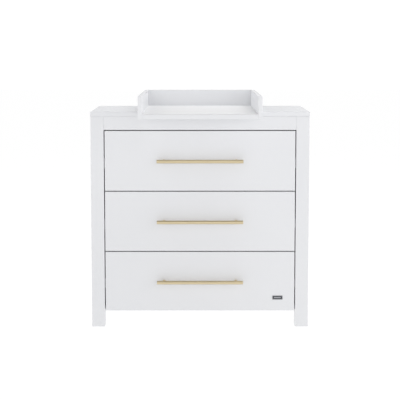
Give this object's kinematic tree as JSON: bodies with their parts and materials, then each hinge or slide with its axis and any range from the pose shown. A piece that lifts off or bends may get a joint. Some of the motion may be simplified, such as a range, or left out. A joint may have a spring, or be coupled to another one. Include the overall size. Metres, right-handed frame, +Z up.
{
  "type": "changing table",
  "caption": "White nursery dresser: bar-handled drawers on telescopic runners between square posts, and a narrow U-shaped changing tray on top that overhangs the front.",
  "frame": {"origin": "on the floor, in the middle of the whole footprint, changer overhang included", "axes": "+Z up, +X to the right of a person who faces the drawers, drawers open towards -Y"},
  "size_m": [0.97, 0.77, 1.043],
  "materials": {
    "white_lacquer": "white satin lacquer on MDF",
    "white_melamine": "white melamine on particle board",
    "white_hardboard": "white lacquered hardboard",
    "beech": "plain fluted beech",
    "satin_gold": "fine-brushed satin",
    "zinc_steel": "bright zinc plate",
    "steel_plate": "white powder coat",
    "glide_plastic": "matte",
    "badge_metal": "dark grey satin, blank"
  },
  "bodies": {
    "cabinet": {"top_panel": "white_lacquer", "post_front_left": "white_lacquer", "post_front_right": "white_lacquer", "post_rear_left": "white_lacquer", "post_rear_right": "white_lacquer", "side_panel_left": "white_lacquer", "side_panel_right": "white_lacquer", "front_top_rail": "white_lacquer", "rear_top_rail": "white_lacquer", "changer_side_left": "white_lacquer", "changer_side_right": "white_lacquer", "changer_back": "white_lacquer", "changer_front_board": "white_lacquer", "changer_floor": "white_hardboard", "bottom_panel": "white_melamine", "back_panel": "white_hardboard", "floor_glides": "glide_plastic", "carcass_dowels": "beech", "cabinet_screws": "zinc_steel", "changer_plates": "steel_plate", "runner_bottom_cabinet_members": "zinc_steel", "runner_middle_cabinet_members": "zinc_steel", "runner_top_cabinet_members": "zinc_steel"},
    "runner_bottom_middle": {"runner_bottom_middle_members": "zinc_steel"},
    "drawer_bottom": {"drawer_bottom_front": "white_lacquer", "drawer_bottom_side_left": "white_melamine", "drawer_bottom_side_right": "white_melamine", "drawer_bottom_back": "white_melamine", "drawer_bottom_bottom": "white_hardboard", "drawer_bottom_dowels": "beech", "drawer_bottom_runner_screws": "zinc_steel", "runner_bottom_drawer_members": "zinc_steel", "handle_bottom_bar": "satin_gold", "handle_bottom_posts": "satin_gold", "handle_bottom_screws": "zinc_steel", "badge_plate": "badge_metal"},
    "runner_middle_middle": {"runner_middle_middle_members": "zinc_steel"},
    "drawer_middle": {"drawer_middle_front": "white_lacquer", "drawer_middle_side_left": "white_melamine", "drawer_middle_side_right": "white_melamine", "drawer_middle_back": "white_melamine", "drawer_middle_bottom": "white_hardboard", "drawer_middle_dowels": "beech", "drawer_middle_runner_screws": "zinc_steel", "runner_middle_drawer_members": "zinc_steel", "handle_middle_bar": "satin_gold", "handle_middle_posts": "satin_gold", "handle_middle_screws": "zinc_steel"},
    "runner_top_middle": {"runner_top_middle_members": "zinc_steel"},
    "drawer_top": {"drawer_top_front": "white_lacquer", "drawer_top_side_left": "white_melamine", "drawer_top_side_right": "white_melamine", "drawer_top_back": "white_melamine", "drawer_top_bottom": "white_hardboard", "drawer_top_dowels": "beech", "drawer_top_runner_screws": "zinc_steel", "runner_top_drawer_members": "zinc_steel", "handle_top_bar": "satin_gold", "handle_top_posts": "satin_gold", "handle_top_screws": "zinc_steel"}
  },
  "joints": [
    {"name": "drawer_top_slide", "type": "slide", "parent": "cabinet", "child": "drawer_top", "axis": [0, -1, 0], "range_m": [0, 0.45]},
    {"name": "runner_top_middle_slide", "type": "slide", "parent": "cabinet", "child": "runner_top_middle", "axis": [0, -1, 0], "range_m": [0, 0.225]},
    {"name": "drawer_middle_slide", "type": "slide", "parent": "cabinet", "child": "drawer_middle", "axis": [0, -1, 0], "range_m": [0, 0.45]},
    {"name": "runner_middle_middle_slide", "type": "slide", "parent": "cabinet", "child": "runner_middle_middle", "axis": [0, -1, 0], "range_m": [0, 0.225]},
    {"name": "drawer_bottom_slide", "type": "slide", "parent": "cabinet", "child": "drawer_bottom", "axis": [0, -1, 0], "range_m": [0, 0.45]},
    {"name": "runner_bottom_middle_slide", "type": "slide", "parent": "cabinet", "child": "runner_bottom_middle", "axis": [0, -1, 0], "range_m": [0, 0.225]}
  ],
  "couplings": [
    {"joint": "runner_top_middle_slide", "follows": "drawer_top_slide", "ratio": 0.5},
    {"joint": "runner_middle_middle_slide", "follows": "drawer_middle_slide", "ratio": 0.5},
    {"joint": "runner_bottom_middle_slide", "follows": "drawer_bottom_slide", "ratio": 0.5}
  ]
}
